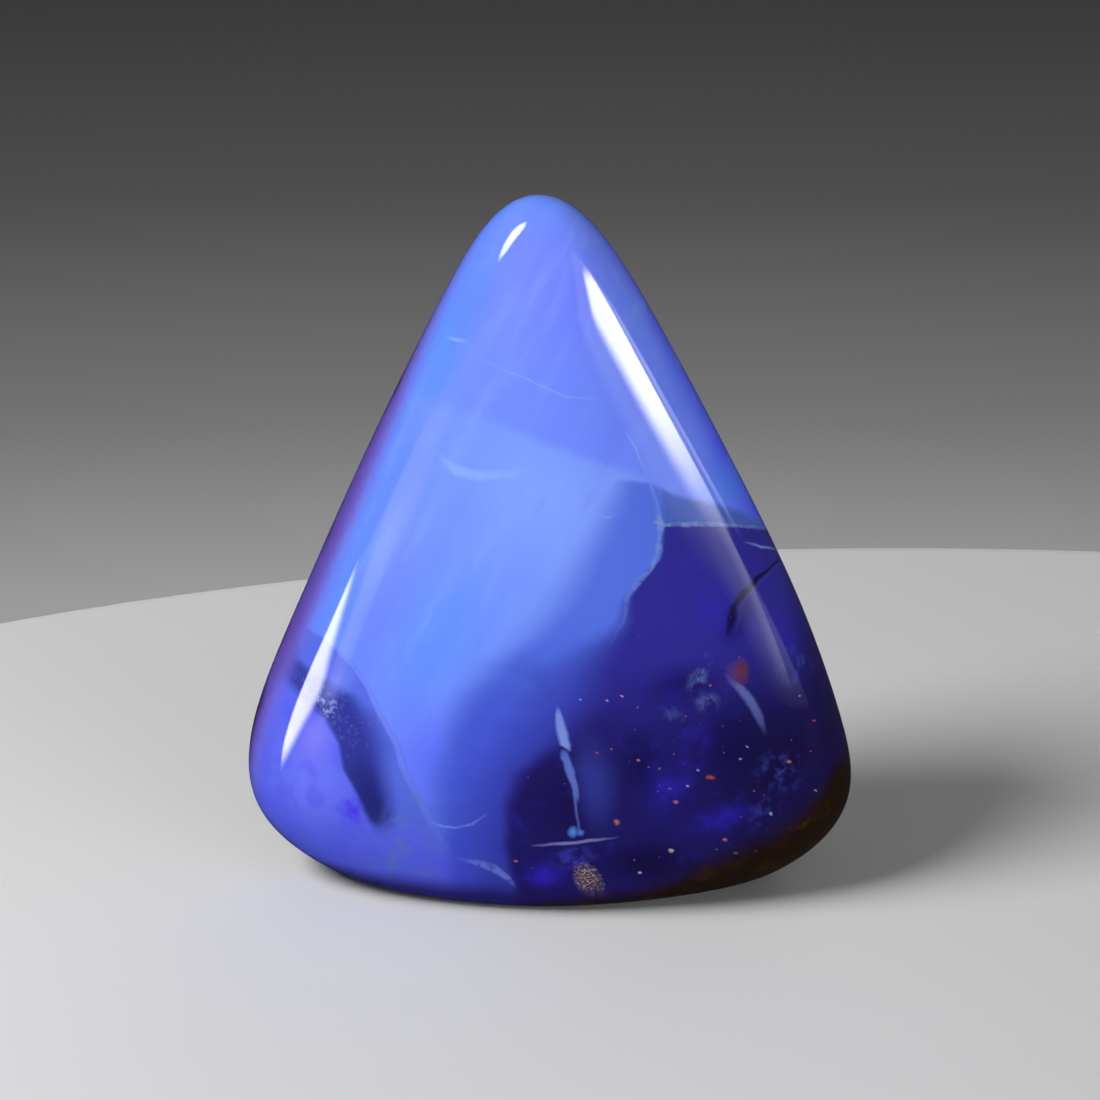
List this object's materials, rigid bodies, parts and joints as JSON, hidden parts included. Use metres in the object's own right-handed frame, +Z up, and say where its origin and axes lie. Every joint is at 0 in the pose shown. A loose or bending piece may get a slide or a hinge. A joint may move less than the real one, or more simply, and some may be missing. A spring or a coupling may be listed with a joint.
{
  "type": "polished boulder opal",
  "caption": "Rounded triangular boulder opal, polished all over, that stands upright on a small ground base.",
  "frame": {"origin": "middle of the footprint, at the level of the ground base", "axes": "+Z up from the base to the tip, +Y from the opal front to the ironstone back, +X to the right as the front is seen"},
  "size_m": [0.0306, 0.0146, 0.0357],
  "materials": {
    "opal": "high polish, milky blue to dark indigo opal with brown ironstone at its edges and back"
  },
  "bodies": {
    "root": {"boulder_opal": "opal"}
  },
  "joints": []
}
